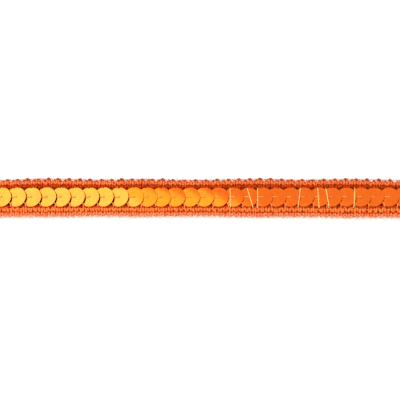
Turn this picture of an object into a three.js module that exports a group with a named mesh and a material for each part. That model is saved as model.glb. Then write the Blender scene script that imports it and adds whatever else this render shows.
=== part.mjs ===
// Sequin trim: a cut length of crochet-knitted braid with a row of overlapping flat sequins along it.
// Millimetres. +X runs along the trim, +Y across it towards the picot edge, and +Z up, away from the
// surface it lies on. The origin is the middle of the underside.
import * as THREE from "three";

// Driving sizes
const COURSE = 1.672; // one knitted course along the trim
const COURSES = 80;
const STATIONS_PER_COURSE = 2; // one crest and one hollow of each stitch
const PICOT_COURSES = 2; // a picot stands out once in this many courses
const SEQUIN_DIAMETER = 6;
const SEQUIN_THICKNESS = 0.25;
const SEQUIN_HOLE_DIAMETER = 1.3;
const SEQUIN_CORNERS = 24;
const SEQUIN_HOLE_CORNERS = 8;
const SEQUIN_COUNT = 29;
const SEQUINS_PER_COURSE = 3 / 8;
const CLEARANCE = 0.3; // between one piece and the next

// Sizes that follow from them
const LENGTH = COURSE * COURSES;
const PICOT_PITCH = COURSE * PICOT_COURSES;
const SEQUIN_PITCH = COURSE / SEQUINS_PER_COURSE;
const SEQUIN_RADIUS = SEQUIN_DIAMETER / 2;

// Braid section
const WEB_TOP = 1; // the flat middle, under the sequins
const WEB_HALF_WIDTH = 3.1;
const UPPER_EDGE = { from: 5, to: 5.4 }; // the strip that stands out into the picots
const LOWER_EDGE = { from: 5.2, to: 5.88 };
const EDGES_START = 4; // from here outwards, the section follows its uneven edge fully

// How far the stitches and picots rise out of the plain section
const WEB_RIB = 0.06;
const STITCH_RISE = 0.12;
const PICOT_REACH = 0.6;
const PICOT_ROUNDNESS = 1.3;
const LOWER_PICOT_REACH = 0.12;
const FIRST_PICOT = 1.5 * COURSE; // from the left end to the first picot's tip

// The wales, rows of stitches along the trim: where each one's crest lies and how far it reaches
// to each side.
const WALES = [
  { name: "upper outer", middle: 4.6, reach: 0.5 },
  { name: "upper inner", middle: 3.6, reach: 0.5 },
  { name: "lower inner", middle: -3.65, reach: 0.5 },
  { name: "lower outer", middle: -5.2, reach: 0.65 },
];

// The edges aren't quite straight: how far each one stands off its nominal line, along the trim.
const UNEVEN = [
  { along: -66.9, upper: -0.24, lower: 0.0 },
  { along: -47.4, upper: 0.24, lower: -0.02 },
  { along: -30.6, upper: -0.06, lower: 0.2 },
  { along: -17.6, upper: 0.13, lower: 0.03 },
  { along: -0.6, upper: -0.14, lower: 0.18 },
  { along: 19.4, upper: 0.19, lower: -0.12 },
  { along: 32.4, upper: -0.08, lower: -0.08 },
  { along: 45.4, upper: 0.13, lower: -0.26 },
  { along: 66.9, upper: -0.3, lower: -0.26 },
];

// The sequins stand a little further apart on the left half than on the right.
const SEQUIN_DRIFT = 0.85;

const braidYarn = new THREE.MeshStandardMaterial({ color: 0xe8622a, roughness: 0.85, metalness: 0 });
const sequinFilm = new THREE.MeshStandardMaterial({ color: 0xf57014, roughness: 0.25, metalness: 1 });

// A smooth step between the rows of UNEVEN.
function unevenAt(along, edge) {
  const next = UNEVEN.findIndex((row) => row.along >= along);
  if (next <= 0) {
    return UNEVEN.at(next)[edge];
  }
  const [before, after] = [UNEVEN[next - 1], UNEVEN[next]];
  const share = THREE.MathUtils.smoothstep(along, before.along, after.along);
  return THREE.MathUtils.lerp(before[edge], after[edge], share);
}

// 1 on the crest of a stitch and -1 in the hollow between two stitches.
function stitchWave(along) {
  return Math.cos((2 * Math.PI * (along + LENGTH / 2)) / COURSE);
}

// 1 at the tip of a picot and 0 halfway to the next one.
function picotWave(along, firstTip) {
  const turn = (2 * Math.PI * (along + LENGTH / 2 - firstTip)) / PICOT_PITCH;
  return ((1 + Math.cos(turn)) / 2) ** PICOT_ROUNDNESS;
}

// The plain section across the trim, seen from its right end: the flat underside first, then back
// over the top.
function braidSection() {
  const underside = [
    [-5.75, 0],
    [5.05, 0],
  ];
  const upperEdge = [
    [5.3, 0.45],
    [5.4, 0.85],
    [5.15, 1.2],
    [4.95, 1.48],
    [4.6, 1.68],
    [4.25, 1.48],
    [4.0, 1.1],
    [3.6, 1.16],
    [3.3, 1.04],
  ];
  const web = [
    [WEB_HALF_WIDTH, WEB_TOP - WEB_RIB],
    [-WEB_HALF_WIDTH, WEB_TOP - WEB_RIB],
  ];
  const lowerEdge = [
    [-3.3, 1.4],
    [-3.65, 1.66],
    [-4.0, 1.4],
    [-4.35, 1.05],
    [-4.75, 1.3],
    [-5.2, 1.38],
    [-5.65, 1.15],
    [-5.88, 0.7],
    [-5.85, 0.3],
  ];
  const corners = [...underside, ...upperEdge, ...web, ...lowerEdge];
  return corners.map(([y, z]) => new THREE.Vector2(y, z));
}

// Raises a section's point into a stitch, a rib or a picot, and moves it with its uneven edge.
function raisePoint(point) {
  const { x, y, z } = point;
  const onUnderside = z === 0;
  if (!onUnderside) {
    const wale = WALES.find(({ middle, reach }) => Math.abs(y - middle) < reach);
    if (wale) {
      point.z += STITCH_RISE * stitchWave(x) * (1 - Math.abs(y - wale.middle) / wale.reach);
    } else if (Math.abs(y) <= WEB_HALF_WIDTH) {
      point.z += WEB_RIB * stitchWave(x);
    }
    const upperShare = THREE.MathUtils.smoothstep(y, UPPER_EDGE.from, UPPER_EDGE.to);
    const lowerShare = THREE.MathUtils.smoothstep(-y, LOWER_EDGE.from, LOWER_EDGE.to);
    point.y += PICOT_REACH * picotWave(x, FIRST_PICOT) * upperShare;
    point.y -= LOWER_PICOT_REACH * picotWave(x, FIRST_PICOT + COURSE) * lowerShare;
  }
  const edge = y > 0 ? "upper" : "lower";
  const share = THREE.MathUtils.smoothstep(Math.abs(y), WEB_HALF_WIDTH, EDGES_START);
  point.y += unevenAt(x, edge) * share;
}

function makeBraid() {
  const geometry = new THREE.ExtrudeGeometry(new THREE.Shape(braidSection()), {
    depth: LENGTH,
    steps: COURSES * STATIONS_PER_COURSE,
    bevelEnabled: false,
  });
  // The extrusion runs along Z with the section in X and Y: turn it so that it runs along X.
  geometry.applyMatrix4(
    new THREE.Matrix4().makeBasis(
      new THREE.Vector3(0, 1, 0),
      new THREE.Vector3(0, 0, 1),
      new THREE.Vector3(1, 0, 0),
    ),
  );
  geometry.translate(-LENGTH / 2, 0, 0);
  const places = geometry.getAttribute("position");
  const point = new THREE.Vector3();
  for (let i = 0; i < places.count; i++) {
    point.fromBufferAttribute(places, i);
    raisePoint(point);
    places.setXYZ(i, point.x, point.y, point.z);
  }
  const braid = new THREE.Mesh(geometry, braidYarn);
  braid.name = "braid";
  return braid;
}

// The corners of a regular outline that stands for a circle.
function circleOutline(radius, corners) {
  return Array.from({ length: corners }, (_, i) => {
    const angle = (2 * Math.PI * i) / corners;
    return new THREE.Vector2(radius * Math.cos(angle), radius * Math.sin(angle));
  });
}

function sequinGeometry() {
  const outline = new THREE.Shape(circleOutline(SEQUIN_RADIUS, SEQUIN_CORNERS));
  const hole = circleOutline(SEQUIN_HOLE_DIAMETER / 2, SEQUIN_HOLE_CORNERS);
  outline.holes.push(new THREE.Path(hole));
  const geometry = new THREE.ExtrudeGeometry(outline, {
    depth: SEQUIN_THICKNESS,
    bevelEnabled: false,
  });
  return geometry.translate(0, 0, -SEQUIN_THICKNESS / 2);
}

// Each sequin's right side lies on the next one, so all of them tilt by the angle that keeps them clear.
function sequinTilt() {
  return Math.asin((SEQUIN_THICKNESS + CLEARANCE) / SEQUIN_PITCH);
}

// How far along the trim a sequin's middle lies.
function sequinPlace(index) {
  const last = SEQUIN_COUNT - 1;
  const drift = SEQUIN_DRIFT * Math.sin((Math.PI * index) / last);
  return (index - last / 2) * SEQUIN_PITCH + drift;
}

function makeSequins() {
  const geometry = sequinGeometry();
  const tilt = sequinTilt();
  const height = WEB_TOP + CLEARANCE + SEQUIN_RADIUS * Math.sin(tilt) + SEQUIN_THICKNESS / 2;
  return Array.from({ length: SEQUIN_COUNT }, (_, index) => {
    const sequin = new THREE.Mesh(geometry, sequinFilm);
    sequin.name = `sequin_${String(index + 1).padStart(2, "0")}`;
    sequin.position.set(sequinPlace(index), 0, height);
    sequin.rotation.y = -tilt;
    return sequin;
  });
}

const trim = new THREE.Group();
trim.add(makeBraid(), ...makeSequins());

export default trim;
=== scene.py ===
"""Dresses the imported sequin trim: its knitted braid, its sequins and the threads that hold them.

Sizes in the classes are millimetres, and a mesh is turned to metres when it is made. The frame is that of
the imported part: +X along the trim, +Y across it towards the picots, +Z up from the surface it lies on.
"""

from __future__ import annotations

import logging
import math
from dataclasses import dataclass
from enum import Enum
from typing import Any

import bpy
import numpy as np
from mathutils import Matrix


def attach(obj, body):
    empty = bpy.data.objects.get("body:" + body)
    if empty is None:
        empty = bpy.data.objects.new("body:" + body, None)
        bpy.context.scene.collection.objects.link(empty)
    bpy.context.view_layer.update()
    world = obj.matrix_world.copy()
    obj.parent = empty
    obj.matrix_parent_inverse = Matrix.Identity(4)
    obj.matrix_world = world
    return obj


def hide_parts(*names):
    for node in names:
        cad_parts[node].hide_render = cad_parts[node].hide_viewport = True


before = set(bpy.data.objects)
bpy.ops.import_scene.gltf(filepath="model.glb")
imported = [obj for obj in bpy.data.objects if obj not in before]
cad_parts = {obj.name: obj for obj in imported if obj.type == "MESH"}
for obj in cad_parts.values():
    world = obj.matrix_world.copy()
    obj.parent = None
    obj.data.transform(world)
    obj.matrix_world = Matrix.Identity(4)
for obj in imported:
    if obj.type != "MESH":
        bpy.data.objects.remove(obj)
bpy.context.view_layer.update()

MM = 0.001
SEED = 29
# How far the yarns that run along the trim stop short of its cut ends, and their points in each course.
END_MARGIN = 0.05
POINTS_PER_COURSE = 12
# The sequins' lean across the trim, lower side raised, and how much it varies, in degrees.
SEQUIN_LEAN = -14.0
LEAN_SPREAD = 0.6
Array = np.ndarray

log = logging.getLogger("sequin_trim")


def linear(code: str) -> tuple[float, float, float, float]:
    """Turns an sRGB hex value to linear.

    Args:
        code: The colour as "#rrggbb".

    Returns:
        Red, green, blue and a full alpha, linear.
    """
    shares = [int(code[i : i + 2], 16) / 255 for i in (1, 3, 5)]
    red, green, blue = (s / 12.92 if s <= 0.04045 else ((s + 0.055) / 1.055) ** 2.4 for s in shares)
    return red, green, blue, 1.0


def smoothstep(low: float, high: float, at: Array) -> Array:
    """Rises smoothly from 0 at low to 1 at high."""
    share = np.clip((np.asarray(at, float) - low) / (high - low), 0, 1)
    return share * share * (3 - 2 * share)


def add_node(
    tree: bpy.types.NodeTree,
    kind: str,
    inputs: dict[str | int, Any] | None = None,
    **settings: Any,
) -> bpy.types.Node:
    """Adds one node to a tree.

    Args:
        tree: The tree that it goes into.
        kind: The node's type name.
        inputs: What its inputs hold: a socket to link from, or a value.
        **settings: Its own settings, by name.

    Returns:
        The node.
    """
    node = tree.nodes.new(kind)
    for name, value in settings.items():
        setattr(node, name, value)
    for name, value in (inputs or {}).items():
        if isinstance(value, bpy.types.NodeSocket):
            tree.links.new(value, node.inputs[name])
        else:
            node.inputs[name].default_value = value
    return node


def new_material(name: str) -> tuple[bpy.types.Material, bpy.types.NodeTree]:
    """Makes an empty node material.

    Args:
        name: Its name.

    Returns:
        The material and its node tree, with no node in it.
    """
    material = bpy.data.materials.new(name)
    material.use_nodes = True
    material.node_tree.nodes.clear()
    return material, material.node_tree


class Edge(Enum):
    """The two long edges of the braid."""

    UPPER = "upper"
    LOWER = "lower"


@dataclass(frozen=True)
class DyedYarn:
    """Polyester and rayon yarn, spun, dyed and knitted: it is soft, with a light sheen on its fibres.

    Its colour shifts a little from stitch to stitch, and its fine fibres break up the light.
    """

    name: str
    colour: str
    shade: str
    roughness: float = 0.62
    sheen: float = 0.35
    sheen_tint: str = "#ffc9a0"
    gloss: float = 0.5
    patch: float = 1.1
    fibre: float = 0.16
    relief: float = 0.05

    def material(self) -> bpy.types.Material:
        """Builds the material.

        Returns:
            The material.
        """
        material, tree = new_material(self.name)
        place = add_node(tree, "ShaderNodeTexCoord").outputs["Object"]
        patches = add_node(
            tree,
            "ShaderNodeTexNoise",
            {"Vector": place, "Scale": 1 / (self.patch * MM), "Detail": 2.0, "Roughness": 0.6},
        )
        fibres = add_node(
            tree,
            "ShaderNodeTexNoise",
            {"Vector": place, "Scale": 1 / (self.fibre * MM), "Detail": 2.0, "Roughness": 0.7},
        )
        both = add_node(
            tree,
            "ShaderNodeMath",
            {0: patches.outputs["Fac"], 1: fibres.outputs["Fac"]},
            operation="ADD",
        )
        share = add_node(
            tree,
            "ShaderNodeMapRange",
            {"Value": both.outputs[0], "From Min": 0.75, "From Max": 1.25},
        )
        dye = add_node(
            tree,
            "ShaderNodeMix",
            {"Factor": share.outputs["Result"], "A": linear(self.shade), "B": linear(self.colour)},
            data_type="RGBA",
        )
        bump = add_node(
            tree,
            "ShaderNodeBump",
            {"Height": fibres.outputs["Fac"], "Strength": 0.7, "Distance": self.relief * MM},
        )
        shader = add_node(
            tree,
            "ShaderNodeBsdfPrincipled",
            {
                "Base Color": dye.outputs["Result"],
                "Roughness": self.roughness,
                "IOR": 1.5,
                "Specular IOR Level": self.gloss,
                "Sheen Weight": self.sheen,
                "Sheen Roughness": 0.45,
                "Sheen Tint": linear(self.sheen_tint),
                "Normal": bump.outputs["Normal"],
            },
        )
        add_node(tree, "ShaderNodeOutputMaterial", {"Surface": shader.outputs["BSDF"]})
        return material


@dataclass(frozen=True)
class MetallisedFilm:
    """Polyester film, metallised by vapour, lacquered in a clear orange and punched flat.

    The metal under the lacquer gives an orange mirror, dulled by fine rolling marks, and the clear top
    layer adds a thin white gloss of its own.
    """

    name: str
    colour: str
    shade: str
    roughness: float = 0.12
    coat: float = 0.6
    mottle: float = 1.3
    grain: float = 0.22
    relief: float = 0.006
    roughness_spread: float = 0.02

    def material(self) -> bpy.types.Material:
        """Builds the material.

        Returns:
            The material.
        """
        material, tree = new_material(self.name)
        place = add_node(tree, "ShaderNodeTexCoord").outputs["Object"]
        mottle = add_node(
            tree,
            "ShaderNodeTexNoise",
            {"Vector": place, "Scale": 1 / (self.mottle * MM), "Detail": 2.0},
        )
        grain = add_node(
            tree,
            "ShaderNodeTexNoise",
            {"Vector": place, "Scale": 1 / (self.grain * MM), "Detail": 2.0, "Roughness": 0.6},
        )
        share = add_node(
            tree,
            "ShaderNodeMapRange",
            {"Value": mottle.outputs["Fac"], "From Min": 0.35, "From Max": 0.65},
        )
        lacquer = add_node(
            tree,
            "ShaderNodeMix",
            {"Factor": share.outputs["Result"], "A": linear(self.shade), "B": linear(self.colour)},
            data_type="RGBA",
        )
        rough = add_node(
            tree,
            "ShaderNodeMapRange",
            {
                "Value": mottle.outputs["Fac"],
                "From Min": 0.3,
                "From Max": 0.7,
                "To Min": self.roughness - self.roughness_spread,
                "To Max": self.roughness + self.roughness_spread,
            },
        )
        bump = add_node(
            tree,
            "ShaderNodeBump",
            {"Height": grain.outputs["Fac"], "Strength": 0.5, "Distance": self.relief * MM},
        )
        shader = add_node(
            tree,
            "ShaderNodeBsdfPrincipled",
            {
                "Base Color": lacquer.outputs["Result"],
                "Metallic": 1.0,
                "Roughness": rough.outputs["Result"],
                "Coat Weight": self.coat,
                "Coat Roughness": 0.08,
                "Normal": bump.outputs["Normal"],
            },
        )
        add_node(tree, "ShaderNodeOutputMaterial", {"Surface": shader.outputs["BSDF"]})
        return material


@dataclass(frozen=True)
class LightTable:
    """Opal acrylic sheet, cast and lit from below: a plain white that swallows soft shadows."""

    name: str = "opal_acrylic_lit"
    colour: str = "#6c6c6c"
    glow: float = 0.95

    def material(self) -> bpy.types.Material:
        """Builds the material.

        Returns:
            The material.
        """
        material, tree = new_material(self.name)
        shader = add_node(
            tree,
            "ShaderNodeBsdfPrincipled",
            {
                "Base Color": linear(self.colour),
                "Roughness": 0.8,
                "Emission Color": linear("#ffffff"),
                "Emission Strength": self.glow,
            },
        )
        add_node(tree, "ShaderNodeOutputMaterial", {"Surface": shader.outputs["BSDF"]})
        return material


# Two tints of the sheen that fine fibres add where light grazes them.
PEACH = "#ffe4d2"
CREAM = "#fff4dc"
# The plain yarn of the braid: orange with redder patches, so that single stitches read.
KNIT_YARN = DyedYarn("dyed_yarn_knitted", "#fd9444", "#e04408", roughness=0.42, sheen=0.1, patch=0.8)
# The lower outer row: the braid's yarn painted paler and pinker, a painted glow from the lit floor below
# that edge.
GLOW_PAINTED_YARN = DyedYarn("dyed_yarn_painted_glow_edge", "#ffa878", "#f0561c", sheen_tint=PEACH, patch=0.8)
# The tips of the picots and the weft's turns behind them: the braid's yarn painted a deep brown-orange as
# shade where they turn away from the light, with hardly any gloss.
SHADE_PAINTED_TIP_YARN = DyedYarn("dyed_yarn_painted_shade_tip", "#cc5418", "#943806", sheen=0.0, gloss=0.2)
# Single loose fibres at the lower edge, painted pale and pink as glow from the lit floor below: a soft haze
# beside the edge.
GLOW_PAINTED_FLUFF = DyedYarn("loose_fibre_fluff_painted_glow", "#ffd8c0", "#ffbc9c", sheen=0.5, sheen_tint=PEACH, patch=0.8)
# The raised row below the sequins: the braid's yarn painted brighter, a painted light against the shade of
# the raised sequins.
LIT_PAINTED_YARN = DyedYarn("dyed_yarn_painted_light", "#ffa048", "#fc5e10", roughness=0.42, sheen=0.05, patch=0.8)
# What lies beside and under the film: the braid's yarn painted dark orange to red-brown as shade, with
# hardly any gloss.
SHADED_YARN = DyedYarn("dyed_yarn_painted_shade", "#da4e04", "#942400", sheen=0.0, gloss=0.12)
# The smooth threads that cross the film: light, shiny lines.
GLOSSY_THREAD = DyedYarn(
    "rayon_thread_glossy", "#ffdc9a", "#ffbe68", roughness=0.3, sheen=0.3, sheen_tint=CREAM, relief=0.015
)
# The thread that leaves each hole: a fine light line on the film.
FINE_THREAD = DyedYarn(
    "fine_thread_glossy", "#f8b454", "#e89c3e", roughness=0.4, sheen=0.05, sheen_tint=CREAM, relief=0.01
)
# The yarn in the holes: a warm yellow dot in each sequin.
CARRIER_YARN = DyedYarn("dyed_yarn_carrier", "#ffca62", "#ffba50", roughness=0.45, sheen=0.1, relief=0.02)
# The lower ends of the threads that run under the sequins: short light orange dashes.
TIE_THREAD = DyedYarn(
    "tie_thread_twisted", "#ffa25c", "#f47e38", roughness=0.4, sheen=0.3, sheen_tint=PEACH, relief=0.015
)
# The face of the sequins: gold, amber or orange, as it mirrors the softbox, the card or the room.
FILM = MetallisedFilm("orange_film_metallised", "#ee760a", "#ea6e04")
# The back of the film, painted a dark dull brown as shade so that the gap between two sequins stays dark;
# mottled like the yarns.
SHADE_PAINTED_FILM_BACK = DyedYarn(
    "film_back_painted_shade", "#2c1a06", "#221204", roughness=0.5, sheen=0.0, gloss=0.3, relief=0.004
)


@dataclass
class Faces:
    """Vertices and faces on their way to a mesh."""

    vertices: Array
    corners: Array
    sizes: Array

    def joined(self, other: Faces) -> Faces:
        """Adds another set of faces."""
        return Faces(
            np.concatenate([self.vertices, other.vertices]),
            np.concatenate([self.corners, other.corners + len(self.vertices)]),
            np.concatenate([self.sizes, other.sizes]),
        )

    def to_object(
        self, name: str, finishes: list[bpy.types.Material], smooth: bool = True
    ) -> bpy.types.Object:
        """Makes the mesh, in metres, and an object for it.

        Args:
            name: The piece's name.
            finishes: Its materials.
            smooth: Whether its faces are shaded as one round surface.

        Returns:
            The object, in the scene.
        """
        mesh = bpy.data.meshes.new(name)
        mesh.vertices.add(len(self.vertices))
        mesh.vertices.foreach_set("co", (self.vertices * MM).astype(np.float32).ravel())
        mesh.loops.add(len(self.corners))
        mesh.loops.foreach_set("vertex_index", self.corners.astype(np.int32))
        mesh.polygons.add(len(self.sizes))
        starts = np.concatenate([[0], np.cumsum(self.sizes)[:-1]])
        mesh.polygons.foreach_set("loop_start", starts.astype(np.int32))
        mesh.polygons.foreach_set("use_smooth", np.full(len(self.sizes), smooth))
        mesh.update(calc_edges=True)
        mesh.validate()
        for finish in finishes:
            mesh.materials.append(finish)
        piece = bpy.data.objects.new(name, mesh)
        bpy.context.scene.collection.objects.link(piece)
        return piece


def grid_faces(
    count: int, rows: int, columns: int, wrap_columns: bool, wrap_rows: bool = False
) -> Array:
    """The four-cornered faces of several grids of vertices that lie one after another.

    Args:
        count: How many grids.
        rows: Rows of vertices in each.
        columns: Vertices in each row.
        wrap_columns: Whether the last column joins the first.
        wrap_rows: Whether the last row joins the first.

    Returns:
        The corners, shaped (faces, 4).
    """
    row = np.arange(rows if wrap_rows else rows - 1)
    column = np.arange(columns if wrap_columns else columns - 1)
    r, c = np.meshgrid(row, column, indexing="ij")
    r2, c2 = (r + 1) % rows, (c + 1) % columns
    corners = [r * columns + c, r * columns + c2, r2 * columns + c2, r2 * columns + c]
    one = np.stack(corners, -1).reshape(-1, 4)
    return (one[None] + (np.arange(count) * rows * columns)[:, None, None]).reshape(-1, 4)


@dataclass(frozen=True)
class Yarn:
    """A yarn twisted from plies, with a groove between each ply and the next."""

    radius: float
    plies: int = 2
    groove: float = 0.16
    lay: float = 1.4
    sides: int = 8

    def sweep(self, paths: Array, taper: Array | None = None) -> Faces:
        """Sweeps the yarn along centre lines, with a cut face at both ends.

        Args:
            paths: The centre lines, shaped (paths, points, 3).
            taper: The share of the radius at each point, shaped (points,), or None.

        Returns:
            Its faces.
        """
        count, points, _ = paths.shape
        tangent = np.gradient(paths, axis=1)
        tangent /= np.linalg.norm(tangent, axis=2, keepdims=True)
        normal = np.empty_like(paths)
        side = np.cross(tangent[:, 0], [0.0, 0.0, 1.0])
        upright = np.linalg.norm(side, axis=1) < 1e-6
        side[upright] = [1.0, 0.0, 0.0]
        normal[:, 0] = side / np.linalg.norm(side, axis=1, keepdims=True)
        for i in range(1, points):
            carried = normal[:, i - 1]
            carried = carried - (carried * tangent[:, i]).sum(1, keepdims=True) * tangent[:, i]
            normal[:, i] = carried / np.linalg.norm(carried, axis=1, keepdims=True)
        binormal = np.cross(tangent, normal)
        run = np.zeros((count, points))
        run[:, 1:] = np.cumsum(np.linalg.norm(np.diff(paths, axis=1), axis=2), axis=1)
        angle = 2 * math.pi * np.arange(self.sides) / self.sides
        turn = angle[None, None] - 2 * math.pi * run[..., None] / self.lay
        radius = self.radius * (1 + self.groove * np.cos(self.plies * turn))
        if taper is not None:
            radius = radius * taper[None, :, None]
        out = np.cos(angle)[:, None] * normal[:, :, None] + np.sin(angle)[:, None] * binormal[:, :, None]
        ring = paths[:, :, None] + radius[..., None] * out
        walls = grid_faces(count, points, self.sides, wrap_columns=True)[:, ::-1]
        first = np.arange(count)[:, None] * points * self.sides + np.arange(self.sides)
        last = first + (points - 1) * self.sides
        corners = np.concatenate([walls.ravel(), first.ravel(), last[:, ::-1].ravel()])
        sizes = np.concatenate([np.full(len(walls), 4), np.full(2 * count, self.sides)])
        return Faces(ring.reshape(-1, 3), corners, sizes)


def curve_through(keys: Array, points: int) -> Array:
    """A smooth line through key points, evenly spaced in its parameter.

    Args:
        keys: The key points, shaped (paths, keys, 3).
        points: How many points the line gets.

    Returns:
        The line, shaped (paths, points, 3).
    """
    count = keys.shape[1]
    before = 2 * keys[:, :1] - keys[:, 1:2]
    after = 2 * keys[:, -1:] - keys[:, -2:-1]
    padded = np.concatenate([before, keys, after], axis=1)
    at = np.linspace(0, count - 1, points)
    i = np.minimum(at.astype(int), count - 2)
    t = (at - i)[None, :, None]
    a, b, c, d = (padded[:, i + k] for k in range(4))
    square = 2 * a - 5 * b + 4 * c - d
    cube = 3 * b - a - 3 * c + d
    return 0.5 * (2 * b + (c - a) * t + square * t**2 + cube * t**3)


@dataclass(frozen=True)
class TrimLayout:
    """Where the stitches, picots and sequins of the trim lie."""

    course: float = 1.672
    courses: int = 80
    picot_courses: int = 2
    first_picot: float = 1.5
    web_top: float = 1.0
    sequins: int = 29
    sequins_per_course: float = 3 / 8
    sequin_radius: float = 3.0
    solid_thickness: float = 0.25
    clearance: float = 0.3
    drift: float = 0.85
    # Places along the trim, and how far the pull of the courses moves each of them along it.
    stretch_at: tuple[float, ...] = (
        -66.9, -61.0, -50.9, -44.0, -34.0, -27.6, -17.6, -10.9, -4.2,
        2.5, 9.2, 19.2, 29.3, 36.0, 52.7, 56.0, 66.9,
    )  # fmt: skip
    stretch: tuple[float, ...] = (
        0.0, 0.0, -0.36, -0.64, -0.8, -0.8, -1.23, -1.55, -1.42,
        -1.3, -1.08, -1.14, -1.23, -1.33, -1.14, -0.89, 0.0,
    )  # fmt: skip
    # Places along the trim, how far each edge stands off its nominal line there, and how far from the
    # middle line that starts and is whole.
    along: tuple[float, ...] = (-66.9, -47.4, -30.6, -17.6, -0.6, 19.4, 32.4, 45.4, 66.9)
    upper: tuple[float, ...] = (-0.24, 0.24, -0.06, 0.13, -0.14, 0.19, -0.08, 0.13, -0.3)
    lower: tuple[float, ...] = (0.0, -0.02, 0.2, 0.03, 0.18, -0.12, -0.08, -0.26, -0.26)
    uneven_from: float = 3.1
    uneven_full: float = 4.0

    @property
    def length(self) -> float:
        """The cut length."""
        return self.course * self.courses

    @property
    def sequin_pitch(self) -> float:
        """From one sequin's middle to the next."""
        return self.course / self.sequins_per_course

    @property
    def tilt(self) -> float:
        """The angle of each sequin, whose right side lies on the next one."""
        return math.asin((self.solid_thickness + self.clearance) / self.sequin_pitch)

    def picots(self) -> Array:
        """Where the tip of each picot lies along the trim."""
        first = -self.length / 2 + self.first_picot * self.course
        return first + self.course * self.picot_courses * np.arange(self.courses // self.picot_courses)

    def uneven(self, x: Array, edge: Edge) -> Array:
        """How far an edge stands off its nominal line.

        Args:
            x: Places along the trim.
            edge: Which edge.

        Returns:
            The offset across the trim at each place.
        """
        along = np.array(self.along)
        values = np.array(self.upper if edge is Edge.UPPER else self.lower)
        x = np.clip(x, along[0], along[-1])
        i = np.clip(np.searchsorted(along, x) - 1, 0, len(along) - 2)
        share = (x - along[i]) / (along[i + 1] - along[i])
        share = share * share * (3 - 2 * share)
        return values[i] + (values[i + 1] - values[i]) * share

    def settle(self, points: Array) -> Array:
        """Moves points with the pull of the courses, and near an edge with its unevenness.

        Args:
            points: Points, shaped (..., 3).

        Returns:
            The moved points.
        """
        x, y = points[..., 0], points[..., 1]
        shift = np.where(y > 0, self.uneven(x, Edge.UPPER), self.uneven(x, Edge.LOWER))
        moved = points.copy()
        moved[..., 0] = x + np.interp(x, self.stretch_at, self.stretch)
        moved[..., 1] = y + shift * smoothstep(self.uneven_from, self.uneven_full, np.abs(y))
        return moved

    def inner_line(self, middle: float | Array, height: float | Array) -> Array:
        """A line from end to end of the trim, for a yarn that lies inside it.

        Args:
            middle: Where it lies across the trim.
            height: Its height.

        Returns:
            Its points, shaped (1, points, 3).
        """
        line = np.empty((1, POINTS_PER_COURSE * self.courses, 3))
        line[..., 0] = self.inner_places()
        line[..., 1] = middle
        line[..., 2] = height
        return line

    def inner_places(self) -> Array:
        """Where the points of an inner line lie along the trim."""
        half = self.length / 2 - END_MARGIN
        return np.linspace(-half, half, POINTS_PER_COURSE * self.courses)

    def sequin_place(self, index: int) -> float:
        """How far along the trim a sequin's node lies."""
        last = self.sequins - 1
        return (index - last / 2) * self.sequin_pitch + self.drift * math.sin(math.pi * index / last)

    @property
    def sequin_height(self) -> float:
        """The height of a sequin's middle."""
        rise = self.sequin_radius * math.sin(self.tilt)
        return self.web_top + self.clearance + rise + self.solid_thickness / 2


@dataclass
class WrappedRow:
    """One raised row along the trim: a core, and a yarn that crosses over it twice a course.

    The crossings lean one way and the other in turn, like the two legs of a knitted loop.
    """

    name: str
    middle: float
    height: float
    finish: DyedYarn
    half_width: float = 0.55
    drop: float = 0.75
    slant: float = 0.14
    uneven: float = 0.05
    yarn: Yarn = Yarn(0.32, lay=1.1)
    core: Yarn = Yarn(0.32, lay=2.2)
    core_depth: float = 0.42
    height_share: float = 0.7
    points: int = 16

    def build(self, layout: TrimLayout, rng: np.random.Generator) -> bpy.types.Object:
        """Wraps the row.

        Args:
            layout: The trim's layout.
            rng: The source of its small unevenness.

        Returns:
            The piece.
        """
        pitch = layout.course / 2
        count = 2 * layout.courses
        x = -layout.length / 2 + pitch * (0.5 + np.arange(count))
        lean = np.where(np.arange(count) % 2 == 0, self.slant, -self.slant)
        lean = lean + rng.normal(0, self.slant / 2, count)
        # The key points of one crossing, as shares of the half width and of the drop.
        across = np.array([-1.0, -0.85, -0.45, 0.0, 0.45, 0.85, 1.0])
        down = np.array([-1.0, -0.55, -0.14, 0.0, -0.14, -0.55, -1.0])
        shift = rng.normal(0, self.uneven, (count, 3))
        keys = np.empty((count, len(across), 3))
        keys[..., 0] = (x + shift[:, 0])[:, None] + lean[:, None] * across
        keys[..., 1] = self.middle + shift[:, 1:2] + self.half_width * across
        keys[..., 2] = self.height + self.height_share * shift[:, 2:] + self.drop * down
        inside = layout.inner_line(self.middle, self.height - self.core_depth)
        wraps = self.yarn.sweep(layout.settle(curve_through(keys, self.points)))
        core = self.core.sweep(layout.settle(inside))
        return wraps.joined(core).to_object(self.name, [self.finish.material()])


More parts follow.
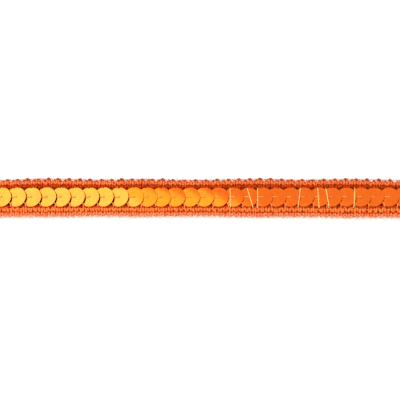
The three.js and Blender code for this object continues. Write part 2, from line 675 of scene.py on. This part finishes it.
@dataclass
class Weft:
    """The inlaid yarn that crosses from edge to edge and back in each course, and turns at the edges."""

    name: str = "weft"
    low: float = -5.1
    high: float = 4.75
    turn_out: float = 0.42
    deep: float = 3.3
    dark_from: float = 4.9
    height: float = 0.6
    edge_height: float = 0.72
    uneven_along: float = 0.05
    uneven_across: float = 0.02
    yarn: Yarn = Yarn(0.33, lay=1.8)
    points: int = 30

    def build(self, layout: TrimLayout, rng: np.random.Generator) -> bpy.types.Object:
        """Lays the yarn in.

        Args:
            layout: The trim's layout.
            rng: The source of its small unevenness.

        Returns:
            The piece.
        """
        step = layout.course / 2
        count = 2 * layout.courses - 1
        x = -layout.length / 2 + step * (1 + np.arange(count))
        toward = np.where(np.arange(count) % 2 == 0, 1.0, -1.0)[:, None]
        # The key points of one crossing, from one turn to the other: offset along, place across and height.
        offset = np.array([-1.0, -0.75, 0, 0, 0, 0, 0, 0, 0.75, 1.0]) * step / 2
        low_turn = [self.low - self.turn_out, self.low - 0.7 * self.turn_out, self.low]
        high_turn = [self.high + 0.7 * self.turn_out, self.high + self.turn_out]
        y = np.array([*low_turn, -3.65, -1.6, 0.4, 2.2, 3.6, *high_turn])
        z = np.array([0.8, 0.95, 1, 0.75, 1, 1, 1, 0.75, 0.95, 0.8])
        keys = np.empty((count, len(y), 3))
        keys[..., 0] = x[:, None] + offset * toward + rng.normal(0, self.uneven_along, keys.shape[:2])
        keys[..., 1] = y + rng.normal(0, self.uneven_across, keys.shape[:2])
        keys[..., 2] = self.height * z + rng.normal(0, self.uneven_across, keys.shape[:2])
        keys[:, :2, 2] = self.edge_height
        keys[:, -2:, 2] = self.edge_height
        made = self.yarn.sweep(layout.settle(curve_through(keys, self.points)))
        # The middle of each crossing, where it lies under the film, takes the yarn painted dark as shade.
        finishes = [KNIT_YARN.material(), SHADED_YARN.material(), SHADE_PAINTED_TIP_YARN.material()]
        piece = made.to_object(self.name, finishes)
        # The weft's turns at the upper edge take the yarn painted deep brown-orange as shade.
        y = made.vertices[made.corners[np.cumsum(made.sizes) - 1], 1]
        finish = np.where(np.abs(y) < self.deep, 1, np.where(y > self.dark_from, 2, 0))
        piece.data.polygons.foreach_set("material_index", finish.astype(np.int32))
        return piece


@dataclass
class Inlay:
    """A yarn that fills a groove along the trim and wanders a little in it."""

    name: str
    middle: float
    height: float
    finish: DyedYarn
    wander: float = 0.035
    turns_across: tuple[float, float] = (2.1, 1.3)
    turns_up: tuple[float, float] = (3.7, 1.7)
    yarn: Yarn = Yarn(0.33, lay=2.2)

    def build(self, layout: TrimLayout) -> bpy.types.Object:
        """Lays the yarn in.

        Args:
            layout: The trim's layout.

        Returns:
            The piece.
        """
        x = layout.inner_places()
        across = self.swing(x, self.turns_across)
        up = self.swing(x, self.turns_up)
        line = layout.inner_line(self.middle + across, self.height + up)
        return self.yarn.sweep(layout.settle(line)).to_object(self.name, [self.finish.material()])

    def swing(self, x: Array, turns: tuple[float, float]) -> Array:
        """How far it wanders at each place along the trim, by two waves in radians a millimetre."""
        return self.wander * (np.sin(turns[0] * x) + np.sin(turns[1] * x))


@dataclass
class Picots:
    """The small loops that stand out of the upper row, one to every second course."""

    name: str = "picots"
    half_width: float = 0.34
    root: float = 4.35
    tip: float = 5.52
    height: float = 1.35
    dark_from: float = 5.0
    size_spread: float = 0.08
    place_spread: float = 0.08
    reach_spread: float = 0.06
    height_spread: float = 0.03
    yarn: Yarn = Yarn(0.35, groove=0.12, lay=1.5, sides=12)
    points: int = 28

    def build(self, layout: TrimLayout, rng: np.random.Generator) -> bpy.types.Object:
        """Turns the loops.

        Args:
            layout: The trim's layout.
            rng: The source of their small unevenness.

        Returns:
            The piece.
        """
        middles = layout.picots()
        # The key points of one loop, from its root out round its tip and back.
        x = np.array([-0.9, -1.1, -1.15, -0.75, 0, 0.75, 1.15, 1.1, 0.9]) * self.half_width
        reach = self.tip - self.root
        y = reach * np.array([0, 0.35, 0.7, 0.94, 1.0, 0.94, 0.7, 0.35, 0])
        z = self.height + np.array([-0.1, 0.05, -0.15, -0.45, -0.55, -0.45, -0.15, 0.05, -0.1])
        keys = np.empty((len(middles), len(x), 3))
        one = (len(middles), 1)
        size = 1 + rng.normal(0, self.size_spread, one)
        keys[..., 0] = middles[:, None] + x * size + rng.normal(0, self.place_spread, one)
        keys[..., 1] = self.root + y * (1 + rng.normal(0, self.reach_spread, one))
        keys[..., 2] = z + rng.normal(0, self.height_spread, one)
        line = curve_through(keys, self.points)
        made = self.yarn.sweep(layout.settle(line))
        piece = made.to_object(self.name, [KNIT_YARN.material(), SHADE_PAINTED_TIP_YARN.material()])
        # Past dark_from, at its tip, each loop takes the yarn painted deep brown-orange as shade.
        dark = np.repeat(line[:, :-1, 1] > self.dark_from, self.yarn.sides)
        caps = np.zeros(2 * len(middles), bool)
        piece.data.polygons.foreach_set("material_index", np.concatenate([dark, caps]).astype(np.int32))
        return piece


@dataclass
class Ground:
    """The flat knitted ground under the yarns, ribbed across by its courses."""

    name: str = "ground"
    low: float = -5.75
    high: float = 4.95
    bottom: float = 0.02
    top: float = 0.42
    rib: float = 0.08
    wale: float = 1.0
    edge_width: float = 0.5
    edge_thickness: float = 0.2
    edge_lift: float = 0.14
    stations: int = 641
    columns: int = 27

    def build(self, layout: TrimLayout) -> bpy.types.Object:
        """Knits the ground as one closed thin sheet.

        Args:
            layout: The trim's layout.

        Returns:
            The piece.
        """
        half = layout.length / 2
        x = np.linspace(-half, half, self.stations)
        y = np.linspace(self.low, self.high, self.columns)
        grid = np.stack(np.meshgrid(x, y, indexing="ij"), -1)
        rib = 0.5 + 0.5 * np.cos(4 * math.pi * (grid[..., 0] + half) / layout.course)
        stitch = 0.5 + 0.5 * np.cos(2 * math.pi * grid[..., 1] / self.wale + math.pi * (rib > 0.5))
        inside = smoothstep(0, self.edge_width, grid[..., 1] - self.low)
        inside = inside * smoothstep(0, self.edge_width, self.high - grid[..., 1])
        rise = self.top - self.bottom - self.edge_thickness
        top = self.bottom + self.edge_thickness + rise * inside + self.rib * rib * inside
        bottom = self.bottom + self.edge_lift * (1 - inside) + self.rib * (1 - rib) * (0.6 + 0.4 * stitch)
        upper = layout.settle(np.concatenate([grid, top[..., None]], -1))
        lower = layout.settle(np.concatenate([grid, bottom[..., None]], -1))[:, ::-1]
        ring = np.concatenate([upper, lower], axis=1)
        columns = 2 * self.columns
        walls = grid_faces(1, self.stations, columns, wrap_columns=True)[:, ::-1]
        first = np.arange(columns)
        last = first + (self.stations - 1) * columns
        corners = np.concatenate([walls.ravel(), first, last[::-1]])
        sizes = np.concatenate([np.full(len(walls), 4), [columns, columns]])
        # The ground takes the yarn painted dark as shade.
        return Faces(ring.reshape(-1, 3), corners, sizes).to_object(self.name, [SHADED_YARN.material()])


# How far each sequin lies from its node's place along the trim, in millimetres, and how much more it tilts
# than the even shingle, in degrees: they are fed and sewn one by one and never lie quite alike.
SEQUIN_SHIFTS = (
    -0.25, -0.20, 0.03, 0.13, 0.12, 0.00, -0.06, -0.10, 0.03, 0.22,
    0.02, -0.25, -0.28, -0.16, -0.20, -0.16, 0.11, 0.33, 0.34, 0.16,
    0.15, 0.01, 0.31, -0.06, 0.11, 0.26, -0.04, 0.30, 0.31,
)  # fmt: skip
SEQUIN_TIPS = (
    2.3, 2.5, 2.8, 2.8, 3.1, 3.4, 3.7, 4.0, 4.3, 1.3,
    -0.2, 0.0, -0.2, 0.8, 1.3, 0.5, 0.3, -1.0, -0.8, -0.4,
    0.2, 0.7, 1.3, 1.3, 1.5, 1.6, 1.4, 1.7, 1.6,
)  # fmt: skip


@dataclass
class Sequin:
    """One round sequin with a hole in its middle, flat but for a very slight crown and twist."""

    index: int
    shift: float
    tip: float
    lean: float
    radius: float = 3.1
    across: float = 0.12
    twist: float = 0.12
    crown: float = 0.03
    lift: float = 0.1
    thickness: float = 0.08
    hole: float = 0.32
    rounding: float = 0.03
    rings: tuple[float, ...] = (0.9, 1.3, 1.7, 2.1, 2.5)
    corners: int = 72

    @property
    def node(self) -> str:
        """The node that it stands for."""
        return f"sequin_{self.index + 1:02d}"

    def frame_at(self, layout: TrimLayout) -> tuple[Array, Array]:
        """Where the sequin lies.

        Args:
            layout: The trim's layout.

        Returns:
            Its middle, and a matrix whose columns are its own axes.
        """
        tilt = layout.tilt + math.radians(self.tip)
        x = layout.sequin_place(self.index) + self.shift
        middle = np.array([x, self.across, layout.sequin_height + self.lift])
        along = np.array([math.cos(tilt), 0.0, math.sin(tilt)])
        lean = math.radians(self.lean)
        up = np.array([-math.sin(tilt), 0.0, math.cos(tilt)])
        across = math.cos(lean) * np.array([0.0, 1.0, 0.0]) + math.sin(lean) * up
        return middle, np.stack([along, across, np.cross(along, across)], axis=1)

    def build(self, layout: TrimLayout, finishes: list[bpy.types.Material]) -> bpy.types.Object:
        """Punches the sequin out and lays it down.

        Args:
            layout: The trim's layout.
            finishes: The film's materials, of its face and of its back, the back painted dark as shade.

        Returns:
            The piece.
        """
        half = self.thickness / 2
        inner, outer = self.hole, self.radius
        radii = [inner, inner + self.rounding, *self.rings, outer - self.rounding, outer]
        heights = [0.0, *[half] * (len(radii) - 2), 0.0]
        face = list(zip(radii, heights, strict=True))
        section = np.array(face + [(r, -h) for r, h in face[-2:0:-1]])
        angle = 2 * math.pi * np.arange(self.corners) / self.corners
        r, z = section.T
        local = np.empty((self.corners, len(section), 3))
        local[..., 0] = np.cos(angle)[:, None] * r
        local[..., 1] = np.sin(angle)[:, None] * r
        local[..., 2] = z - self.twist * local[..., 0] * local[..., 1] / outer**2
        local[..., 2] -= self.crown * local[..., 0] ** 2 / outer**2
        middle, axes = self.frame_at(layout)
        points = middle + local @ axes.T
        walls = grid_faces(1, self.corners, len(section), wrap_columns=True, wrap_rows=True)
        made = Faces(points.reshape(-1, 3), walls.ravel(), np.full(len(walls), 4))
        piece = made.to_object(f"film_{self.node}", finishes, smooth=False)
        # The underside faces take the film's back, which is painted dark as shade.
        under = np.tile(np.arange(len(section)) >= len(radii), self.corners)
        piece.data.polygons.foreach_set("material_index", under.astype(np.int32))
        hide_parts(self.node)
        return piece


@dataclass
class CarrierStitches:
    """The back stitch of each sequin: a yarn fills its hole, and a fine thread leaves it to the left."""

    fill: Yarn = Yarn(0.3, groove=0.08, lay=1.2)
    fine: Yarn = Yarn(0.195, lay=1.0)
    gap: float = 0.01
    points: int = 24

    def build(self, layout: TrimLayout, sequins: list[Sequin]) -> list[bpy.types.Object]:
        """Sews the stitches.

        Args:
            layout: The trim's layout.
            sequins: The laid sequins.

        Returns:
            The yarns in the holes, and the fine threads.
        """
        over = sequins[0].thickness / 2 + self.fine.radius + self.gap
        # Key points in a sequin's own axes: to its right, towards the picots, and up from its middle.
        rising = [[-0.05, 0.0, -0.65], [-0.03, 0.0, -0.4], [0.0, 0.0, -0.2], [0.02, 0.0, 0.06]]
        leaving = [
            [0.1, -0.08, -0.1],
            [0.02, -0.06, over * 0.9],
            [-0.5, -0.04, over],
            [-0.95, -0.04, over],
            [-1.5, -0.06, over],
            [-2.2, -0.08, over],
            [-2.95, -0.08, over],
            [-3.3, -0.04, -0.05],
            [-3.5, 0.0, -0.4],
        ]
        pieces = []
        for name, local, yarn, finish in (
            ("carrier_yarns", rising, self.fill, CARRIER_YARN),
            ("fine_threads", leaving, self.fine, FINE_THREAD),
        ):
            keys = []
            for sequin in sequins:
                middle, axes = sequin.frame_at(layout)
                keys.append(middle + np.array(local) @ axes.T)
            paths = curve_through(np.array(keys), self.points)
            pieces.append(yarn.sweep(paths).to_object(name, [finish.material()]))
        return pieces


@dataclass
class BinderThreads:
    """The threads that cross over each sequin and hold it down.

    Most of them run under the sequin before, and only their lower ends show. A few have slipped out from
    under it and lie across the film.
    """

    thread: Yarn = Yarn(0.155, lay=1.1)
    tie: Yarn = Yarn(0.18, lay=1.0)
    gap: float = 0.02
    beyond_rim: float = 0.1
    points: int = 40
    # A thread across the film: where its ends lie, and the two sides that its places are given for.
    ends: tuple[float, float] = (-3.3, 2.95)
    sides: tuple[float, float] = (-2.9, 2.9)
    # A lower end: places across the trim, and how far right of the sequin's middle it lies at each.
    end_at: tuple[float, ...] = (-3.1, -2.7, -2.3, -1.95, -1.7, -1.5)
    end: tuple[float, ...] = (-1.8, -1.75, -1.72, -1.78, -2.05, -2.6)
    # Where the lower ends start, how far they vary across the trim and along it, and by how many radians
    # that turns from one sequin to the next.
    end_low: float = -3.05
    end_spread: tuple[float, float] = (0.12, 0.16)
    end_turns: tuple[float, float] = (2.4, 1.7)
    # What lies beside and under the sequins: places across the trim, and its height at each.
    braid_at: tuple[float, ...] = (-4.1, -3.95, -3.7, -3.4, -3.1, 2.9, 3.1)
    braid: tuple[float, ...] = (1.2, 1.52, 1.64, 1.52, 1.15, 1.15, 0.95)
    # Sequin number: how far right of its middle the thread lies at the upper and at the lower side.
    shown: tuple[tuple[int, float, float], ...] = (
        (16, -1.1, -1.05),
        (17, -0.45, 1.25),
        (18, -1.6, -1.6),
        (21, -1.15, -1.9),
        (22, -0.4, -0.1),
        (23, -1.9, -1.0),
        (25, -1.9, -2.3),
    )

    def build(self, layout: TrimLayout, sequins: list[Sequin]) -> list[bpy.types.Object]:
        """Draws the threads tight over the sequins.

        Args:
            layout: The trim's layout.
            sequins: The laid sequins.

        Returns:
            The threads that show, and the ones under the sequins.
        """
        shown = {index: (upper, lower) for index, upper, lower in self.shown}
        across, under = [], []
        for sequin in sequins:
            middle, _ = sequin.frame_at(layout)
            if sequin.index in shown:
                upper, lower = shown[sequin.index]
                y = np.linspace(*self.ends, self.points)
                x = middle[0] + np.interp(y, self.sides, [lower, upper])
                z = self.resting_height(layout, sequins, x, y, self.thread)
                across.append(np.stack([x, y, z], axis=1))
            low = self.end_low + self.end_spread[0] * math.sin(self.end_turns[0] * sequin.index)
            y = np.linspace(low, self.end_at[-1], self.points)
            x = middle[0] + np.interp(y, self.end_at, self.end)
            x += self.end_spread[1] * math.sin(self.end_turns[1] * sequin.index)
            z = self.resting_height(layout, [sequin], x, y, self.tie)
            under.append(np.stack([x, y, z], axis=1))
        return [
            self.thread.sweep(np.array(across)).to_object("binder_threads", [GLOSSY_THREAD.material()]),
            self.tie.sweep(np.array(under)).to_object("tie_threads", [TIE_THREAD.material()]),
        ]

    def resting_height(
        self, layout: TrimLayout, sequins: list[Sequin], x: Array, y: Array, yarn: Yarn
    ) -> Array:
        """The height of a tight thread over what is under it.

        Args:
            layout: The trim's layout.
            sequins: The sequins that it passes over.
            x: Its places along the trim.
            y: Its places across it.
            yarn: The thread.

        Returns:
            The height of its centre line at each place.
        """
        low = np.interp(y, self.braid_at, self.braid)
        for sequin in sequins:
            middle, axes = sequin.frame_at(layout)
            away = np.hypot(x - middle[0], y - middle[1])
            up = axes[:, 2]
            surface = middle[2] - (up[0] * (x - middle[0]) + up[1] * (y - middle[1])) / up[2]
            surface = surface + sequin.thickness / 2
            low = np.where(away < sequin.radius + self.beyond_rim, np.maximum(low, surface), low)
        return taut(y, low) + yarn.radius + self.gap


def taut(along: Array, heights: Array) -> Array:
    """The line of a thread drawn tight over a profile: its upper hull.

    Args:
        along: Places along the thread, rising.
        heights: The profile's height at each.

    Returns:
        The hull's height at each place.
    """
    hull: list[int] = []
    for i in range(len(along)):
        while len(hull) > 1:
            a, b = hull[-2], hull[-1]
            rise, run = heights[b] - heights[a], along[b] - along[a]
            if rise * (along[i] - along[a]) > (heights[i] - heights[a]) * run:
                break
            hull.pop()
        hull.append(i)
    return np.interp(along, along[hull], heights[hull])


@dataclass
class Fuzz:
    """Loose fibre ends that stand out of an edge."""

    name: str
    edge: Edge
    middle: float
    height: float
    count: int
    finish: DyedYarn
    spread: float = 0.3
    length: float = 0.55
    shortest: float = 0.35
    outward: float = 0.6
    upward: float = 0.1
    flatness: float = 0.4
    height_spread: float = 0.2
    curl: float = 0.35
    lowest: float = 0.03
    end_margin: float = 0.5
    tip: float = 0.45
    yarn: Yarn = Yarn(0.024, groove=0.0, sides=3)
    points: int = 5

    def build(self, layout: TrimLayout, rng: np.random.Generator) -> bpy.types.Object:
        """Brushes the fibres out.

        Args:
            layout: The trim's layout.
            rng: The source of their places and bends.

        Returns:
            The piece.
        """
        half = layout.length / 2 - self.end_margin
        out = 1.0 if self.edge is Edge.UPPER else -1.0
        root = np.empty((self.count, 3))
        root[:, 0] = rng.uniform(-half, half, self.count)
        root[:, 1] = self.middle + rng.uniform(-self.spread, self.spread, self.count)
        root[:, 2] = self.height + rng.normal(0, self.height_spread, self.count)
        aim = rng.normal(0, 1, (self.count, 3))
        aim[:, 1] = out * np.abs(aim[:, 1]) + self.outward * out
        aim[:, 2] = self.flatness * aim[:, 2] + self.upward
        aim /= np.linalg.norm(aim, axis=1, keepdims=True)
        bend = rng.normal(0, self.curl, (self.count, 3))
        length = self.length * rng.uniform(self.shortest, 1.0, self.count)
        t = np.linspace(0, 1, self.points)[None, :, None]
        paths = root[:, None] + length[:, None, None] * (aim[:, None] * t + bend[:, None] * t**2)
        paths[..., 2] = np.maximum(paths[..., 2], self.lowest)
        fibres = self.yarn.sweep(layout.settle(paths), np.linspace(1, self.tip, self.points))
        return fibres.to_object(self.name, [self.finish.material()])


@dataclass(frozen=True)
class Panel:
    """A soft rectangular light to the left of the trim, tipped towards it by its slant.

    The slant is in degrees from straight overhead, and aside is how far across the trim the light hangs.
    """

    name: str
    slant: float
    aside: float
    depth: float
    power: float
    distance: float = 500.0
    width: float = 510.0
    tint: str = "#fffcfa"

    def build(self) -> bpy.types.Object:
        """Hangs the light.

        Returns:
            The light.
        """
        data = bpy.data.lights.new(self.name, "AREA")
        data.shape = "RECTANGLE"
        data.size = self.depth * MM
        data.size_y = self.width * MM
        data.energy = self.power
        data.color = linear(self.tint)[:3]
        light = bpy.data.objects.new(self.name, data)
        bpy.context.scene.collection.objects.link(light)
        slant = math.radians(self.slant)
        light.location = (
            -math.sin(slant) * self.distance * MM,
            self.aside * MM,
            math.cos(slant) * self.distance * MM,
        )
        light.rotation_euler = (0.0, -slant, 0.0)
        return light


@dataclass
class Studio:
    """The plain floor, the soft light of a pale room, three panels of light, and the camera overhead.

    The left sequins mirror the softbox, the middle ones the warm card, and the right ones the room. The low
    fill lights the sides of the raised rows.
    """

    room: str = "#ffdebe"
    overhead: float = 1.11
    horizon: float = 0.56
    fade: tuple[float, float] = (0.1, 0.9)
    trim_top: float = 1.5
    sensor: float = 36.0
    centre: tuple[float, float] = (-0.7, -0.84)
    height: float = 400.0
    span: float = 125.0
    floor: float = 4000.0
    panels: tuple[Panel, ...] = (
        Panel("softbox", slant=45.8, aside=258.0, depth=400.0, power=1.75, tint="#bcfcfa"),
        Panel("warm_card", slant=19.3, aside=258.0, depth=80.0, power=0.29, tint="#ffd670"),
        Panel("low_fill", slant=72.0, aside=-150.0, depth=150.0, power=0.4, distance=260.0, width=150.0),
    )

    def build(self) -> None:
        """Sets the studio up."""
        scene = bpy.context.scene
        scene.view_settings.view_transform = "Standard"
        scene.view_settings.look = "None"
        world = bpy.data.worlds.new("soft_room")
        scene.world = world
        world.use_nodes = True
        world.node_tree.nodes.clear()
        toward = add_node(world.node_tree, "ShaderNodeTexCoord").outputs["Generated"]
        parts = add_node(world.node_tree, "ShaderNodeSeparateXYZ", {0: toward})
        strength = add_node(
            world.node_tree,
            "ShaderNodeMapRange",
            {
                "Value": parts.outputs["Z"],
                "From Min": self.fade[0],
                "From Max": self.fade[1],
                "To Min": self.horizon,
                "To Max": self.overhead,
            },
            interpolation_type="SMOOTHSTEP",
        )
        sky = add_node(
            world.node_tree,
            "ShaderNodeBackground",
            {"Color": linear(self.room), "Strength": strength.outputs["Result"]},
        )
        add_node(world.node_tree, "ShaderNodeOutputWorld", {"Surface": sky.outputs[0]})
        half = self.floor / 2
        corners = np.array([[-half, -half, 0], [half, -half, 0], [half, half, 0], [-half, half, 0]])
        sheet = Faces(corners, np.arange(4), np.array([4]))
        floor = sheet.to_object("floor", [LightTable().material()])
        for panel in self.panels:
            panel.build()
        data = bpy.data.cameras.new("camera")
        data.sensor_width = self.sensor
        data.lens = data.sensor_width * self.height / self.span
        data.clip_start = 0.01
        camera = bpy.data.objects.new("camera", data)
        scene.collection.objects.link(camera)
        camera.location = (self.centre[0] * MM, self.centre[1] * MM, (self.height + self.trim_top) * MM)
        scene.camera = camera


def main() -> None:
    """Builds the studio and the trim, and declares every piece."""
    logging.basicConfig(level=logging.INFO, format="%(name)s: %(message)s")
    rng = np.random.default_rng(SEED)
    Studio().build()
    layout = TrimLayout()
    ground = Ground().build(layout)
    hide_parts("braid")
    rows = [
        WrappedRow("row_upper_outer", 4.37, 1.35, KNIT_YARN, half_width=0.42, slant=0.2, uneven=0.09),
        # The upper inner row takes the yarn painted dark as shade, for the shadow of the outer row.
        WrappedRow("row_upper_inner", 3.37, 1.25, SHADED_YARN, half_width=0.42, slant=0.22, uneven=0.1),
        # The lower inner row takes the yarn painted brighter as light.
        WrappedRow(
            "row_lower_inner",
            -3.66,
            1.42,
            LIT_PAINTED_YARN,
            half_width=0.64,
            drop=0.6,
            uneven=0.09,
            yarn=Yarn(0.36, lay=1.1),
            core_depth=0.28,
        ),
        # The lower outer row takes the yarn painted paler and pinker as glow from the lit floor.
        WrappedRow("row_lower_outer", -5.22, 1.1, GLOW_PAINTED_YARN, half_width=0.62, slant=0.22, uneven=0.08),
    ]
    knitted = [row.build(layout, rng) for row in rows]
    # The inlays take the yarn painted dark as shade.
    knitted.append(Inlay("inlay_lower", -4.5, 1.0, SHADED_YARN).build(layout))
    knitted.append(Inlay("inlay_under_film", -2.72, 1.55, SHADED_YARN).build(layout))
    knitted.append(Weft().build(layout, rng))
    knitted.append(Picots().build(layout, rng))
    leans = rng.normal(SEQUIN_LEAN, LEAN_SPREAD, layout.sequins)
    sequins = [
        Sequin(index, shift, tip, float(lean))
        for index, (shift, tip, lean) in enumerate(zip(SEQUIN_SHIFTS, SEQUIN_TIPS, leans, strict=True))
    ]
    film = [FILM.material(), SHADE_PAINTED_FILM_BACK.material()]
    discs = [sequin.build(layout, film) for sequin in sequins]
    sewn = [
        *CarrierStitches().build(layout, sequins),
        *BinderThreads().build(layout, sequins),
    ]
    fuzz = [
        # The lower fibres take the yarn painted pale as glow; the upper ones keep the plain yarn.
        Fuzz("fuzz_lower", Edge.LOWER, -5.74, 1.0, 7400, GLOW_PAINTED_FLUFF, spread=0.36, length=1.1).build(layout, rng),
        Fuzz("fuzz_upper", Edge.UPPER, 5.2, 0.95, 6800, KNIT_YARN, length=0.62).build(layout, rng),
    ]
    for piece in [ground, *knitted, *discs, *sewn, *fuzz]:
        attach(piece, "root")
        log.info("%s: %d faces", piece.name, len(piece.data.polygons))


if __name__ == "__main__":
    main()
